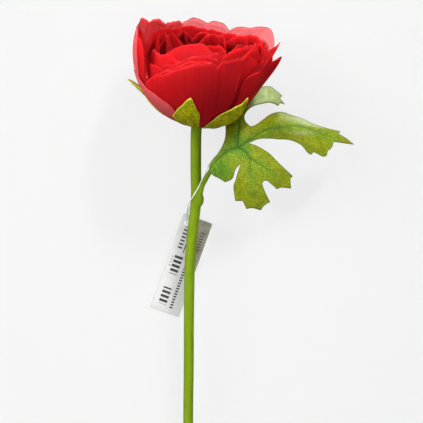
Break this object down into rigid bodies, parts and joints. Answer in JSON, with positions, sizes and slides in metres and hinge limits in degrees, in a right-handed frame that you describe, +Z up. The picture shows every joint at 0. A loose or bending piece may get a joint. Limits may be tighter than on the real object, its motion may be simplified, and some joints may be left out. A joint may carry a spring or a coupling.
{
  "type": "persian buttercup flower",
  "caption": "Cut persian buttercup: a full red bloom in a green calyx on a long bare stem, with one cut leaf and a blank swing tag on a thread, lying on a surface.",
  "frame": {"origin": "middle of the small flat spot at the back of the bloom that rests on the surface", "axes": "+Z up from the surface, +Y along the stem towards the bloom, +X towards the leaf's side"},
  "size_m": [0.1181, 0.3461, 0.0721],
  "materials": {
    "petal_red": "woven, matte",
    "sepal_green": "printed fabric, mottled",
    "stem_green": "satin",
    "leaf_green": "printed fabric, speckled",
    "tag_card": "coated, blank",
    "loop_nylon": "clear nylon thread"
  },
  "bodies": {
    "root": {"bloom": "petal_red", "calyx": "sepal_green", "stem": "stem_green", "leaf": "leaf_green", "tag": "tag_card", "tag_loop": "loop_nylon"}
  },
  "joints": []
}
